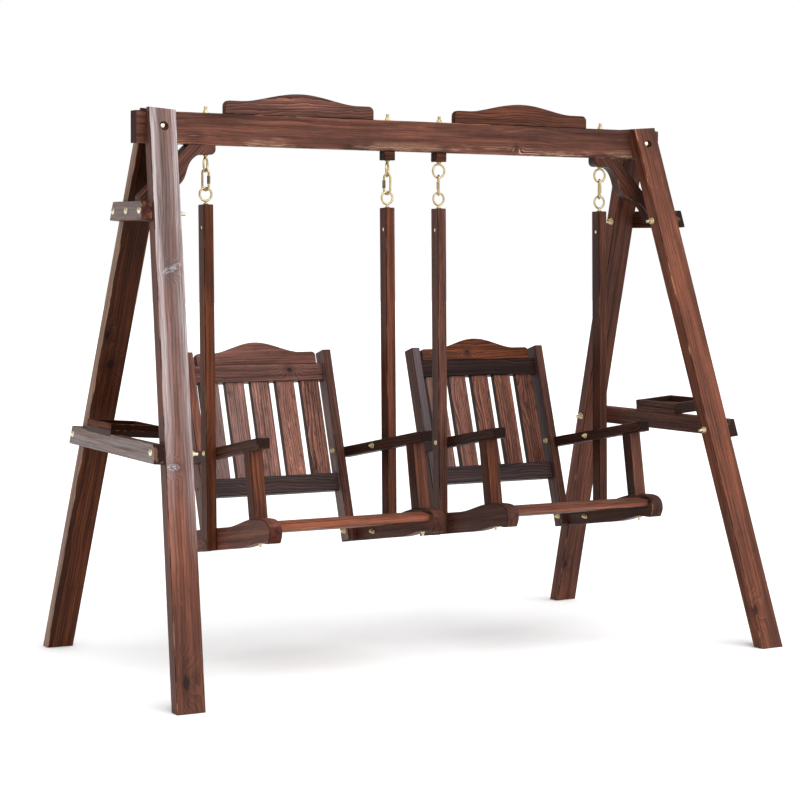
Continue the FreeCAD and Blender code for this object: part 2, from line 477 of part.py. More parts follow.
for side, s in (("left", -1), ("right", 1)):
    xc = SHIFT + D["chair_" + side]
    pre = side + "_chair_"
    fasteners, eyes, arm_posts = [], [], []
    dy = BALANCE

    def pt(x, y, z, xc=xc, dy=dy):
        return Vector(xc + x, y + dy, z)

    def back(x, n, t, xc=xc, dy=dy):
        # point in the reclined back frame: n forward of the stile centre plane, t up the stile
        return Vector(xc + x, 91.0 + dy, 360.0) + BACK_ROT.multVec(Vector(0, -n, t))
    fwd, up = BACK_ROT.multVec(Vector(0, -1, 0)), BACK_ROT.multVec(Z)

    # seat slats, housed in both side rails
    slat_boxes, slats = [], []
    for i in range(7):
        yc = -371.0 + i * D["seat_slat_pitch"]
        k = (rail_top(yc + 20) - rail_top(max(yc - 20, -396))) / 40.0
        rot = Rotation(X, math.degrees(math.atan(k)))
        tall = "seat_front_z" if i == 0 else "seat_slat_z"
        place = put(pt(0, yc, rail_top(yc) - 11.0), rot, Vector(-D["seat_slat_x"] / 2, -D["seat_slat_y"] / 2, -D[tall]))
        slat_boxes.append((place, tall))
        b = box("seat_slat", "dims.seat_slat_x", "dims.seat_slat_y", "dims." + tall, place)
        slats.append(soften("seat_slat_soft", b, "edge_slat"))
    node(pre + "seat_slats", group("seat", slats))

    arm_rot = Rotation(X, -ARM)
    arm_front = pt(0, -337.0, 763.4) + arm_rot.multVec(Vector(0, 0, -D["arm_z"]))
    arm_dir, arm_up = arm_rot.multVec(Y), arm_rot.multVec(Z)
    ap_top = arm_front + arm_dir * 78.0
    post_rot = Rotation(X, -LEAN)
    post_up = post_rot.multVec(Z)

    for tag, e in (("left", -1), ("right", 1)):
        out = Vector(e, 0, 0)
        # x of the inner face, low side, for a board between |a| and |b|
        lowx = (lambda a, b: min(e * a, e * b))
        xr = lowx(D["post_inner"] - D["rail_thick"], D["post_inner"])
        xp = lowx(D["post_inner"], D["post_inner"] + D["post_x"])
        # the back sits towards the outer end of the stand: the outer stile is let into the armrest and the side rail
        stile_out = D["post_inner"] - D["rail_thick"] + (D["stile_let_in"] if e == s else 0.0)
        stile_in = stile_out - D["stile_x"]
        xs = lowx(stile_in, stile_out)
        mid_rail = e * (D["post_inner"] - D["rail_thick"] / 2)
        # joints in the side plane: (y, z) of the cross bolts
        top_point = Vector(xc + e * D["post_half"], -(EYE_LOW_TOP - POST_TOP) * math.tan(math.radians(LEAN)), POST_TOP)

        def on_post(z, top_point=top_point):
            return top_point.y - (POST_TOP - z) * math.tan(math.radians(LEAN))
        b_post_arm = (on_post(691.0), 691.0)
        b_post_rail = (on_post(407.0), 407.0)
        q = back(0, 0, 311.0)
        b_stile_arm = (q.y, q.z)
        q = back(0, 0, 34.0)
        b_stile_rail = (q.y, q.z)
        # cross bolts with nuts on the inner side
        for (yy, zz), xo, xi, tail in ((b_post_arm, 347.0, 268.0, 14.0), (b_post_rail, 347.0, 268.0, 14.0),
                                       (b_stile_arm, 313.0, stile_in, 8.5), (b_stile_rail, 313.0, stile_in, 14.0)):
            fasteners.append(bolt("chair_bolt", Vector(xc + e * xo, yy, zz), out * -1, xo - xi + tail, "chair_bolt_r", "chair_head_r", "chair_head_h"))
            fasteners.extend(nut("chair_nut", Vector(xc + e * xi, yy, zz), out * -1, "chair_bolt_r", "chair_nut_r", "chair_nut_h",
                                 "chair_washer_r", "chair_washer_thick"))

        def cross(yz, xc=xc, e=e):
            return bore("cross_bore", Vector(xc - 400, yz[0], yz[1]), X, 800.0, "chair_bolt_r")
        # rod through the side rail, the arm post and into the armrest
        rod_low = ap_top - arm_up * 297.0 + Vector(mid_rail, 0, 0)
        nut_at = ap_top - arm_up * 281.0 + Vector(mid_rail, 0, 0)
        rod = (lambda extra: bore("rod_bore", rod_low - arm_up * 20, arm_up, 337.0 + extra, "chair_bolt_r"))

        def let_in(xs=xs, e=e):
            if e != s:
                return []
            return [box("housing", "dims.stile_x", "dims.stile_y + 40", "dims.stile_length + 20", put(back(xs, D["stile_front"], -10.0), BACK_ROT))]

        # side rail
        b, pad = body("side_rail", "YZ_Plane", rail_outline(), "dims.rail_thick")
        soft_body(b, pad, "dims.edge_soft", "X", lambda e: not isinstance(e.Curve, Part.Line))
        b.Placement = put(pt(xr, 0, 0))
        mortises = [box("mortise", "dims.seat_slat_x", "dims.seat_slat_y", "dims." + tall, pl) for pl, tall in slat_boxes]
        rail = node(pre + "side_rail_" + tag, cut("rail", b, mortises + let_in() + [cross(b_post_rail), cross(b_stile_rail), rod(0),
                    cyl("spot_face", "dims.chair_washer_r + 1", 30.0, put(nut_at, along(arm_up * -1)))]))

        # armrest
        raw = box("arm_raw", "dims.arm_x", "dims.arm_length", "dims.arm_z", put(arm_front + Vector(xr, 0, 0), arm_rot))
        raw = soften("arm_soft", raw, 4.0)
        node(pre + "armrest_" + tag, cut("arm", raw, let_in() + [cross(b_post_arm), cross(b_stile_arm), rod(0)]))

        # arm post, scribed to the side rail
        w = D["arm_post_side"]
        raw = box("arm_post_raw", "dims.arm_post_side", "dims.arm_post_side", "dims.arm_post_length",
                  put(ap_top + Vector(mid_rail, 0, 0), arm_rot, Vector(-w / 2, -w / 2, -D["arm_post_length"])))
        raw = soften("arm_post_soft", raw, "edge_soft", lambda ed: ed.Length > 100)
        b2, pad2 = body("scribe", "YZ_Plane", rail_outline(), "dims.rail_thick")
        b2.Placement = put(pt(xr, 0, 0))
        node(pre + "arm_post_" + tag, cut("arm_post", raw, [b2, rod(0)]))
        # threaded rod with a nut under the rail
        k = cyl("rod", "dims.chair_bolt_r", 317.0, put(rod_low, along(arm_up)))
        fasteners.append(k)
        fasteners.extend(nut("rod_nut", nut_at, arm_up * -1, "chair_bolt_r", "chair_nut_r", "chair_nut_h", "chair_washer_r", "chair_washer_thick"))

        # stile
        raw = box("stile_raw", "dims.stile_x", "dims.stile_y", "dims.stile_length",
                  put(back(xs, D["stile_front"], 2.0), BACK_ROT))
        raw = soften("stile_soft", raw, "edge_soft")
        screw_t = [587.0, 205.0]
        holes = [cross(b_stile_arm), cross(b_stile_rail)]
        for t in screw_t:
            p = back(e * stile_out, -9.0, t)
            holes.append(bore("rail_screw_bore", p + out * 20, out * -1, 120.0, "screw_r"))
            fasteners.append(fuse("rail_screw", [cyl("rail_screw", "dims.screw_r", 80.0, put(p, along(out * -1))),
                                                 cyl("rail_screw", "dims.screw_head_r", "dims.screw_head_h", put(p, along(out)))]))
        node(pre + "stile_" + tag, cut("stile", raw, holes))

        # hanging post
        raw = box("post_raw", "dims.post_x", "dims.post_y", "dims.post_length",
                  put(top_point, post_rot, Vector(-D["post_x"] / 2, -D["post_y"] / 2, -D["post_length"])))
        raw = soften("post_soft", raw, "edge_soft")
        dowel_at = top_point - post_up * 72.0 + Vector(-D["post_x"] / 2, 0, 0)
        holes = [cross(b_post_arm), cross(b_post_rail),
                 cyl("eye_bore", "dims.shank_r + dims.bore_gap", 110.0, put(top_point - post_up * 100, along(post_up))),
                 cyl("barrel_bore", "dims.barrel_r + dims.bore_gap", "dims.barrel_length + 3", put(dowel_at - X, along(X)))]
        node(pre + "post_" + tag, cut("post", raw, holes))
        barrel = cyl("barrel", "dims.barrel_r", "dims.barrel_length", put(dowel_at + X * 1.5, along(X)))
        fasteners.append(cut("barrel", barrel, [cyl("barrel_bore", "dims.shank_r + 0.05", 60.0, put(top_point - post_up * 100, along(post_up)))]))
        # lower eye bolt
        collar = cyl("eye_collar", "dims.eye_collar_r", "dims.eye_collar_h", put(Vector(0, 0, -LOW_RING - D["low_neck"])))
        shank = cyl("eye_shank", "dims.shank_r", 85.0 + D["low_neck"], put(Vector(0, 0, -LOW_RING - D["low_neck"] - 84.0)))
        k = fuse("lower_eye", [ring("eye", "dims.low_ring_r"), collar, shank])
        k.Placement = put(top_point + post_up * (LOW_RING + D["low_neck"]), post_rot)
        eyes.append(k)

    # back: slats mortised into two rails between the stiles, crest board on top
    mid = s * D["back_shift"]
    off = {"left": -5.0, "right": 8.0}[side]
    slats, slat_places = [], []
    for i in range(5):
        xi = off + (i - 2) * D["back_slat_pitch"]
        place = put(back(xi - D["back_slat_x"] / 2, -2.0, 224.0), BACK_ROT)
        slat_places.append(place)
        slats.append(soften("back_slat_soft", box("back_slat", "dims.back_slat_x", "dims.back_slat_y", "dims.back_slat_z", place), "edge_slat"))
    node(pre + "back_slats", group("back", slats))
    for tag, t0 in (("top", 558.0), ("bottom", 175.0)):
        raw = box("back_rail_raw", "dims.back_rail_x", "dims.back_rail_y", "dims.back_rail_z",
                  put(back(mid - D["back_rail_x"] / 2, 6.0, t0), BACK_ROT))
        raw = soften("back_rail_soft", raw, "edge_slat")
        holes = [box("slat_mortise", "dims.back_slat_x", "dims.back_slat_y", "dims.back_slat_z", pl) for pl in slat_places]
        for e in (-1, 1):
            st = 587.0 if tag == "top" else 205.0
            p = back(mid + e * (D["back_rail_x"] / 2 + D["stile_x"]), -9.0, st)
            holes.append(bore("rail_screw_bore", p + Vector(e * 5, 0, 0), Vector(-e, 0, 0), 88.0, "screw_r"))
        if tag == "top":
            for xd in (-150.0, 150.0):
                holes.append(bore("crest_dowel_bore", back(mid + xd, -9.0, 617.0 - 24.0), up, 60.0, "dowel_r"))
        node(pre + "back_%s_rail" % tag, cut("back_rail", raw, holes))
    b, pad = body("back_crest", "XZ_Plane", crest_curves(D["back_crest_half"], D["back_crest_shoulder"], D["back_crest_crown"], D["back_crest_corner"]), "dims.back_crest_thick")
    soft_body(b, pad, "dims.edge_soft", "Y")
    b.Placement = put(back(mid, -20.0, 617.0), BACK_ROT)
    holes = [bore("crest_dowel_bore", back(mid + xd, -9.0, 600.0), up, 40.0, "dowel_r") for xd in (-150.0, 150.0)]
    node(pre + "back_crest", cut("back_crest", b, holes))
    for xd in (-150.0, 150.0):
        fasteners.append(cyl("crest_dowel", "dims.dowel_r", 42.0, put(back(mid + xd, -9.0, 594.0), along(up))))
    node(pre + "eye_bolts", group("eyes", eyes))
    node(pre + "fasteners", group("fasteners", fasteners))

doc.recompute()
bad = []
for o in doc.Objects:
    if any(st in ("Invalid", "Error") for st in o.State):
        bad.append("%s %s" % (o.Label, o.State))
for o in nodes:
    if o.Shape.isNull() or not o.Shape.isValid() or not o.Shape.Solids:
        bad.append("shape of " + o.Label)
if bad:
    raise RuntimeError("; ".join(bad))
os.makedirs("parts", exist_ok=True)
for o in nodes:
    o.Shape.exportStep("parts/%s.step" % o.Label)
print(len(nodes), "nodes")
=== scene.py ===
import bpy
import math
from mathutils import Matrix, Vector, Euler

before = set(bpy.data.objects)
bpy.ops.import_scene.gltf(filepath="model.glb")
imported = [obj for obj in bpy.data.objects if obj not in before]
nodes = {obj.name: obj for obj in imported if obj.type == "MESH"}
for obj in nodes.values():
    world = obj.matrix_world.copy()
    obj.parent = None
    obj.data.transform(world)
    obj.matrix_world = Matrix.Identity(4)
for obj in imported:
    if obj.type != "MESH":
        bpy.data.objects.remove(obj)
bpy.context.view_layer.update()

scene = bpy.context.scene
SHIFT = -0.0425

# ------------------------------------------------------------------ node helpers


class Graph:
    """Small helper that adds shader nodes and joins them."""

    def __init__(self, name):
        self.mat = bpy.data.materials.new(name)
        self.mat.use_nodes = True
        self.nt = self.mat.node_tree
        self.nt.nodes.clear()
        self.out = self.nt.nodes.new("ShaderNodeOutputMaterial")

    def node(self, kind, **props):
        n = self.nt.nodes.new(kind)
        for k, v in props.items():
            setattr(n, k, v)
        return n

    def put(self, socket, value):
        if isinstance(value, bpy.types.NodeSocket):
            self.nt.links.new(value, socket)
        else:
            socket.default_value = value

    def math(self, op, a, b=None, c=None, clamp=False):
        n = self.node("ShaderNodeMath", operation=op, use_clamp=clamp)
        self.put(n.inputs[0], a)
        if b is not None:
            self.put(n.inputs[1], b)
        if c is not None:
            self.put(n.inputs[2], c)
        return n.outputs[0]

    def vmath(self, op, a, b=None):
        n = self.node("ShaderNodeVectorMath", operation=op)
        self.put(n.inputs[0], a)
        if b is not None:
            self.put(n.inputs[1], b)
        return n.outputs["Value"] if op in ("DOT_PRODUCT", "LENGTH", "DISTANCE") else n.outputs["Vector"]

    def mapping(self, vec, loc=(0, 0, 0), rot=(0, 0, 0), scale=(1, 1, 1), kind="POINT"):
        n = self.node("ShaderNodeMapping", vector_type=kind)
        self.put(n.inputs["Vector"], vec)
        n.inputs["Location"].default_value = loc
        n.inputs["Rotation"].default_value = rot
        n.inputs["Scale"].default_value = scale
        return n.outputs["Vector"]

    def noise(self, vec, scale, detail=2.0, rough=0.5, distort=0.0):
        n = self.node("ShaderNodeTexNoise")
        self.put(n.inputs["Vector"], vec)
        n.inputs["Scale"].default_value = scale
        n.inputs["Detail"].default_value = detail
        n.inputs["Roughness"].default_value = rough
        n.inputs["Distortion"].default_value = distort
        return n.outputs[0]

    def ramp(self, fac, stops, mode="LINEAR"):
        n = self.node("ShaderNodeValToRGB")
        self.put(n.inputs[0], fac)
        r = n.color_ramp
        r.interpolation = mode
        while len(r.elements) < len(stops):
            r.elements.new(0.5)
        for e, (p, c) in zip(r.elements, stops):
            e.position = p
            e.color = (c, c, c, 1) if isinstance(c, (int, float)) else (c[0], c[1], c[2], 1)
        return n.outputs[0]

    def smooth(self, x, lo, hi):
        n = self.node("ShaderNodeMapRange", interpolation_type="SMOOTHSTEP")
        self.put(n.inputs["Value"], x)
        n.inputs["From Min"].default_value = lo
        n.inputs["From Max"].default_value = hi
        return n.outputs["Result"]

    def remap(self, x, lo, hi, a, b):
        n = self.node("ShaderNodeMapRange")
        self.put(n.inputs["Value"], x)
        n.inputs["From Min"].default_value = lo
        n.inputs["From Max"].default_value = hi
        n.inputs["To Min"].default_value = a
        n.inputs["To Max"].default_value = b
        return n.outputs["Result"]

    def mix(self, fac, a, b, mode="MIX"):
        n = self.node("ShaderNodeMix", data_type="RGBA", blend_type=mode)
        self.put(n.inputs[0], fac)
        for s, v in ((n.inputs[6], a), (n.inputs[7], b)):
            if isinstance(v, bpy.types.NodeSocket):
                self.nt.links.new(v, s)
            else:
                s.default_value = (v[0], v[1], v[2], 1)
        return n.outputs[2]

    def split(self, vec):
        n = self.node("ShaderNodeSeparateXYZ")
        self.put(n.inputs[0], vec)
        return n.outputs

    def join(self, x, y, z):
        n = self.node("ShaderNodeCombineXYZ")
        for s, v in zip(n.inputs, (x, y, z)):
            self.put(s, v)
        return n.outputs[0]

    def white(self, value):
        n = self.node("ShaderNodeTexWhiteNoise", noise_dimensions="1D")
        self.put(n.inputs["W"], value)
        return n.outputs["Color"]


# ------------------------------------------------------------------ timber


def tint(value, warm):
    """Stain colour: value sets the depth, warm runs from mauve (0) to orange-brown (1)."""
    return (value, value * (0.415 - 0.145 * warm), value * (0.315 - 0.215 * warm))


def middle(name, d):
    """Middle of a node's extent along d, in its own frame."""
    r = [v.co.dot(d) for v in nodes[name].data.vertices]
    return 0.5 * (min(r) + max(r))


def timber(name, along, across, pith=(0.075, 0.085), ring=0.0065, seed=0.0, tone=1.0, warm=0.35, figure=1.0, wander=0.022,
           wave=0.012, wear=0.6, veil=0.0, veil_fade=None, veil_core=None, veil_face=None, film=(0.335, 0.275, 0.275), deep=None, pale=None, groups=None, curved=False,
           knots=(), loose=0.7, faces=(), ends=0.85, gloss=0.09, fleck=0.40, run=0.3, tan=0.0, depths=None,
           spikes=(), shade=None, mottle=0.0):
    """Stained softwood. along = grain direction, across = thickness direction, both in the row frame.
    sheen = painted sheen: a greyish or tan layer of film standing in for reflected light, fading along veil_fade (axis,
    from, to), missing within veil_core of the centre line and kept to the side turned towards veil_face.
    deep = (axis, from, to, amount) darkens towards one end, pale = (axis, from, to) leaves rubbed patches along an
    edge, knots = points of the row frame, faces = (normal, factor) pairs scaling the colour of the side turned along
    the normal, painted light and shade on most parts and darker end grain on board ends, groups = (axis, pitch, origin)
    for several boards, depths = brightness of five boards in a row, tan = how much the light streaks lean to yellow,
    spikes = (point, half width, half height, slope) of silvery knots cut along, shade = (from, to, amount) of painted
    shade across the width.
    run = how much the edges darken, partly stain flowed together there and partly painted shade in the gaps between
    boards."""
    g = Graph(name)
    a = Vector(along).normalized()
    t = Vector(across)
    t = (t - a * t.dot(a)).normalized()
    w = a.cross(t)
    coord = g.node("ShaderNodeTexCoord").outputs["Object"]
    # board frame about the board's middle: u across the width, v through the thickness, l along the grain
    cu, cv = (middle(name, d) for d in (w, t))
    u = g.math("SUBTRACT", g.vmath("DOT_PRODUCT", coord, tuple(w)), cu)
    v = g.math("SUBTRACT", g.vmath("DOT_PRODUCT", coord, tuple(t)), cv)
    l = g.vmath("DOT_PRODUCT", coord, tuple(a))
    l_plain, u_plain = l, u
    rnd = None
    if groups:
        gx, pitch, origin = groups
        idx = g.math("ROUND", g.math("DIVIDE", g.math("SUBTRACT", g.vmath("DOT_PRODUCT", coord, gx), origin), pitch))
        rnd = g.split(g.white(g.math("ADD", idx, seed * 7.0 + 11.0)))
        l = g.math("ADD", l, g.math("MULTIPLY", rnd[0], 5.0))
        pu = g.math("MULTIPLY_ADD", rnd[1], 0.07, pith[0] - 0.035)
        pv = g.math("MULTIPLY_ADD", rnd[2], 0.04, pith[1] - 0.01)
        if abs(Vector(gx).dot(w)) > 0.5:
            side = 1.0 if Vector(gx).dot(w) > 0 else -1.0
            u = g.math("SUBTRACT", u, g.math("MULTIPLY_ADD", idx, pitch * side, origin * side - cu))
    else:
        pu, pv = pith
    # slow bends of the trunk along the grain
    bend = g.noise(g.join(3.0, seed * 5.0, l), 2.4, 3.0, 0.5)
    bend2 = g.noise(g.join(7.0, seed * 3.0, l), 3.1, 3.0, 0.5)
    du = g.math("SUBTRACT", g.math("ADD", u, g.math("MULTIPLY_ADD", bend, wander, -0.5 * wander)), pu)
    dv = g.math("SUBTRACT", g.math("ADD", v, g.math("MULTIPLY_ADD", bend2, wander, -0.5 * wander)), pv)
    pos = g.join(g.math("ADD", u, seed * 1.37), g.math("ADD", v, seed * 0.73), g.math("ADD", l, seed * 3.1))
    # knots: sparse cells stretched along the grain, and set ones
    kv = g.node("ShaderNodeTexVoronoi", feature="F1", voronoi_dimensions="3D")
    g.put(kv.inputs["Vector"], g.mapping(pos, scale=(1.0, 1.0, 0.42)))
    kv.inputs["Scale"].default_value = 6.5
    kd = kv.outputs["Distance"]
    knot = g.math("MULTIPLY", g.smooth(kd, 0.15, 0.04), loose)
    swirl = g.math("MULTIPLY", g.smooth(kd, 0.42, 0.02), 0.020 * loose)
    halo = g.math("MULTIPLY", g.smooth(kd, 0.30, 0.12), 0.35 * loose)
    for point, size, stretch in knots:
        q = Vector(point)
        eu = g.math("DIVIDE", g.math("SUBTRACT", u_plain, q.dot(w) - cu), size)
        el = g.math("DIVIDE", g.math("SUBTRACT", l_plain, q.dot(a)), size * stretch)
        ed = g.math("SQRT", g.math("ADD", g.math("MULTIPLY", eu, eu), g.math("MULTIPLY", el, el)))
        ed = g.math("ADD", ed, g.math("MULTIPLY_ADD", g.noise(pos, 55.0, 2.0, 0.5), 0.7, -0.35))
        knot = g.math("MAXIMUM", knot, g.math("MULTIPLY", g.smooth(ed, 1.15, 0.55), 0.85))
        swirl = g.math("ADD", swirl, g.math("MULTIPLY", g.smooth(ed, 5.0, 0.3), size * 2.2))
        halo = g.math("MAXIMUM", halo, g.math("MULTIPLY", g.smooth(ed, 3.2, 1.0), 0.45))
    wob = g.math("MULTIPLY_ADD", g.noise(g.mapping(pos, scale=(16, 16, 4.5)), 1.0, 3.0, 0.55), wave, -0.5 * wave)
    rad = g.math("SQRT", g.math("ADD", g.math("MULTIPLY", du, du), g.math("MULTIPLY", dv, dv)))
    rad = g.math("ADD", g.math("ADD", rad, wob), swirl)
    # ring width itself varies from year to year
    rr = g.math("DIVIDE", rad, ring)
    rr = g.math("ADD", rr, g.math("MULTIPLY", g.noise(g.join(rr, seed, 0.0), 0.35, 1.0, 0.5), 2.2))
    saw = g.math("FRACT", rr)
    late = g.ramp(saw, [(0.0, 0.02), (0.45, 0.12), (0.72, 0.60), (0.90, 1.0), (0.965, 0.85), (1.0, 0.02)])
    lightline = g.ramp(saw, [(0.0, 0.9), (0.10, 1.0), (0.26, 0.2), (0.5, 0.0)])
    # fibres and streaks
    fib = g.noise(g.mapping(pos, scale=(420, 420, 9)), 1.0, 3.0, 0.6)
    pore = g.noise(g.mapping(pos, scale=(900, 900, 26)), 1.0, 2.0, 0.5)
    streak = g.noise(g.mapping(pos, scale=(95, 95, 2.6)), 1.0, 4.0, 0.62)
    cloud = g.noise(g.mapping(pos, scale=(11, 11, 3.4)), 1.0, 3.0, 0.55)
    flecks = g.noise(g.mapping(pos, scale=(120, 120, 24)), 1.0, 4.0, 0.65)
    blotch = g.noise(g.mapping(pos, scale=(4.5, 4.5, 2.2)), 1.0, 2.0, 0.5)

    def c(value, k=0.0):
        return tint(value * tone, warm + k)

    def light(value, k=0.0):
        r, gr, b = c(value, k)
        return (r, gr * (1.0 + tan), b * (1.0 + 0.6 * tan))
    base = g.mix(g.smooth(cloud, 0.32, 0.68), c(0.135), c(0.235, 0.1))
    base = g.mix(g.math("MULTIPLY", lightline, 0.45 * figure), base, light(0.36, 0.15))
    base = g.mix(g.math("MULTIPLY", late, min(0.92, 0.80 * figure)), base, c(0.034))
    base = g.mix(g.math("MULTIPLY", g.smooth(streak, 0.52, 0.72), 0.55), base, c(0.050))
    base = g.mix(g.math("MULTIPLY", g.smooth(streak, 0.46, 0.28), 0.35), base, light(0.34, 0.1))
    base = g.mix(g.math("MULTIPLY", g.smooth(fib, 0.52, 0.80), 0.40), base, c(0.030))
    base = g.mix(g.math("MULTIPLY", g.smooth(fib, 0.46, 0.20), 0.25), base, light(0.34, 0.1))
    base = g.mix(g.math("MULTIPLY", g.smooth(blotch, 0.60, 0.36), 0.45), base, c(0.075))
    base = g.mix(g.math("MULTIPLY", g.smooth(flecks, 0.54, 0.70), fleck), base, c(0.026))
    base = g.mix(g.math("MULTIPLY", g.smooth(flecks, 0.42, 0.26), 0.7 * fleck), base, light(0.40, 0.05))
    # the stain takes unevenly, in long streaks
    uneven = g.remap(g.noise(g.mapping(pos, scale=(62, 62, 2.2)), 1.0, 3.0, 0.62), 0.36, 0.64, 0.66, 1.34)
    base = g.mix(1.0, base, uneven, "MULTIPLY")
    if mottle:
        patchy = g.noise(g.mapping(pos, scale=(42, 42, 9)), 1.0, 4.0, 0.68)
        base = g.mix(g.math("MULTIPLY", g.smooth(patchy, 0.49, 0.64), mottle), base, c(0.052, -0.4))
    base = g.mix(halo, base, c(0.055))
    base = g.mix(knot, base, c(0.018))
    if rnd is not None:
        base = g.mix(g.remap(rnd[1], 0, 1, 0.0, 0.08), base, c(0.070))
        if depths:
            row = g.ramp(g.math("MULTIPLY_ADD", idx, 0.2, 0.5), [(0.2 * i, d) for i, d in enumerate(depths)], "CONSTANT")
            base = g.mix(1.0, base, row, "MULTIPLY")
    if deep:
        axis, lo, hi, amount = deep
        d = g.smooth(g.math("ADD", g.vmath("DOT_PRODUCT", coord, tuple(axis)), g.math("MULTIPLY_ADD", cloud, 0.3, -0.15)), lo, hi)
        base = g.mix(g.math("MULTIPLY", d, amount), base, c(0.022))
    if shade:
        lo, hi, amount = shade
        d = g.smooth(g.math("ADD", u_plain, g.math("MULTIPLY_ADD", g.noise(g.mapping(pos, scale=(30, 30, 3)), 1.0, 3.0, 0.6), 0.05, -0.025)), lo, hi)
        base = g.mix(g.math("MULTIPLY", d, amount), base, c(0.022))
    geo = g.node("ShaderNodeNewGeometry")
    tc = g.node("ShaderNodeVectorTransform", vector_type="NORMAL", convert_from="WORLD", convert_to="OBJECT")
    g.put(tc.inputs[0], geo.outputs["True Normal"])
    n_obj = tc.outputs[0]
    # painted sheen: a greyish or tan layer laid over the sides turned one way, standing in for reflected light
    if veil > 0:
        haze = g.math("MULTIPLY", g.smooth(g.noise(g.mapping(pos, scale=(75, 75, 2.4)), 1.0, 5.0, 0.66), 0.24, 0.60), veil)
        haze = g.math("MULTIPLY", haze, g.math("MULTIPLY_ADD", g.smooth(g.noise(g.mapping(pos, scale=(300, 300, 5)), 1.0, 4.0, 0.7), 0.36, 0.60), 0.35, 0.70))
        if veil_fade:
            axis, lo, hi = veil_fade
            haze = g.math("MULTIPLY", haze, g.smooth(g.math("ADD", g.vmath("DOT_PRODUCT", coord, tuple(axis)), g.math("MULTIPLY_ADD", cloud, 0.25, -0.125)), lo, hi))
        if veil_core:
            off = g.math("ABSOLUTE", g.math("ADD", u_plain, g.math("MULTIPLY_ADD", bend, 0.02, -0.01)))
            haze = g.math("MULTIPLY", haze, g.math("MULTIPLY_ADD", g.smooth(off, veil_core * 0.2, veil_core * 2.4), 0.85, 0.15))
        if veil_face:
            haze = g.math("MULTIPLY", haze, g.smooth(g.vmath("DOT_PRODUCT", n_obj, tuple(veil_face)), 0.55, 0.85))
        haze = g.math("MULTIPLY", haze, g.math("MULTIPLY_ADD", late, -0.40, 1.0))
        base = g.mix(haze, base, film)
    for point, hu, hl, slope in spikes:
        q = Vector(point)
        pu_ = g.math("SUBTRACT", u_plain, q.dot(w) - cu)
        eu = g.math("DIVIDE", pu_, hu)
        el = g.math("DIVIDE", g.math("SUBTRACT", g.math("SUBTRACT", l_plain, q.dot(a)), g.math("MULTIPLY", pu_, slope)), hl)
        ed = g.math("SQRT", g.math("ADD", g.math("MULTIPLY", eu, eu), g.math("MULTIPLY", el, el)))
        ed = g.math("ADD", ed, g.math("MULTIPLY_ADD", g.noise(pos, 60.0, 3.0, 0.6), 1.2, -0.6))
        ray = g.noise(g.join(g.math("MULTIPLY", eu, 1.6), g.math("MULTIPLY", el, 3.2), seed), 1.7, 4.0, 0.65, 0.8)
        base = g.mix(g.math("MULTIPLY", g.math("MULTIPLY", g.smooth(ed, 1.30, 0.45), g.smooth(ray, 0.44, 0.60)), 0.75), base, (0.40, 0.405, 0.43))
        base = g.mix(g.math("MULTIPLY", g.math("MULTIPLY", g.smooth(ed, 1.45, 0.30), g.smooth(ray, 0.50, 0.40)), 0.85), base, c(0.050, -0.4))
    if pale:
        axis, lo, hi = pale
        rub = g.smooth(g.vmath("DOT_PRODUCT", coord, tuple(axis)), lo, hi)
        rub = g.math("MULTIPLY", rub, g.smooth(g.noise(g.mapping(pos, scale=(24, 24, 5)), 1.0, 3.0, 0.6), 0.46, 0.60))
        rub = g.math("MULTIPLY", rub, lightline)
        base = g.mix(g.math("MULTIPLY", rub, 0.85), base, (0.66, 0.40, 0.26))
    # painted light and shade: the colour of each side turned along a listed normal is scaled lighter or darker as light
    # falls there, and on board ends this darkens end grain; below, end grain soaks up stain
    for axis, factor in faces:
        base = g.mix(g.smooth(g.vmath("DOT_PRODUCT", n_obj, tuple(Vector(axis).normalized())), 0.70, 0.92), base, g.mix(1.0, base, factor, "MULTIPLY"))
    na = g.math("ABSOLUTE", g.vmath("DOT_PRODUCT", n_obj, tuple(a)))
    nt_ = g.math("ABSOLUTE", g.vmath("DOT_PRODUCT", n_obj, tuple(t)))
    nw = g.math("ABSOLUTE", g.vmath("DOT_PRODUCT", n_obj, tuple(w)))
    end = g.smooth(na, 0.55, 0.85)
    if curved:
        edge = g.math("MULTIPLY", g.smooth(nt_, 0.12, 0.40), g.smooth(nt_, 0.985, 0.86))
    else:
        edge = g.smooth(g.math("SUBTRACT", g.math("ADD", g.math("ADD", na, nt_), nw), 1.0), 0.16, 0.34)
        base = g.mix(g.math("MULTIPLY", end, ends), base, c(0.020))
    # rubbed edges show the paler wood below the stain; in other places the edges darken, partly where the stain has
    # flowed together and partly as painted shade in the gaps between boards
    worn = g.noise(g.mapping(pos, scale=(40, 40, 9)), 1.0, 3.0, 0.6)
    base = g.mix(g.math("MULTIPLY", g.math("MULTIPLY", edge, g.smooth(worn, 0.48 + 0.3 * run, 0.34 + 0.2 * run)), 0.85), base, c(0.024))
    base = g.mix(g.math("MULTIPLY", g.math("MULTIPLY", edge, g.smooth(worn, 0.52, 0.66)), 0.62 * wear), base, (0.42, 0.22, 0.125))
    bsdf = g.node("ShaderNodeBsdfPrincipled")
    g.put(bsdf.inputs["Base Color"], base)
    rough = g.math("MULTIPLY_ADD", cloud, 0.20, 0.36)
    rough = g.math("ADD", rough, g.math("MULTIPLY", late, -0.06))
    rough = g.math("ADD", rough, g.math("MULTIPLY", end, 0.20))
    g.put(bsdf.inputs["Roughness"], rough)
    bsdf.inputs["Specular IOR Level"].default_value = gloss
    h = g.math("ADD", g.math("MULTIPLY", late, 0.6), g.math("MULTIPLY", g.math("ADD", fib, pore), 0.35))
    bump = g.node("ShaderNodeBump")
    bump.inputs["Strength"].default_value = 0.45
    bump.inputs["Distance"].default_value = 0.0008
    g.put(bump.inputs["Height"], h)
    g.put(bsdf.inputs["Normal"], bump.outputs[0])
    g.nt.links.new(bsdf.outputs[0], g.out.inputs[0])
    return g.mat


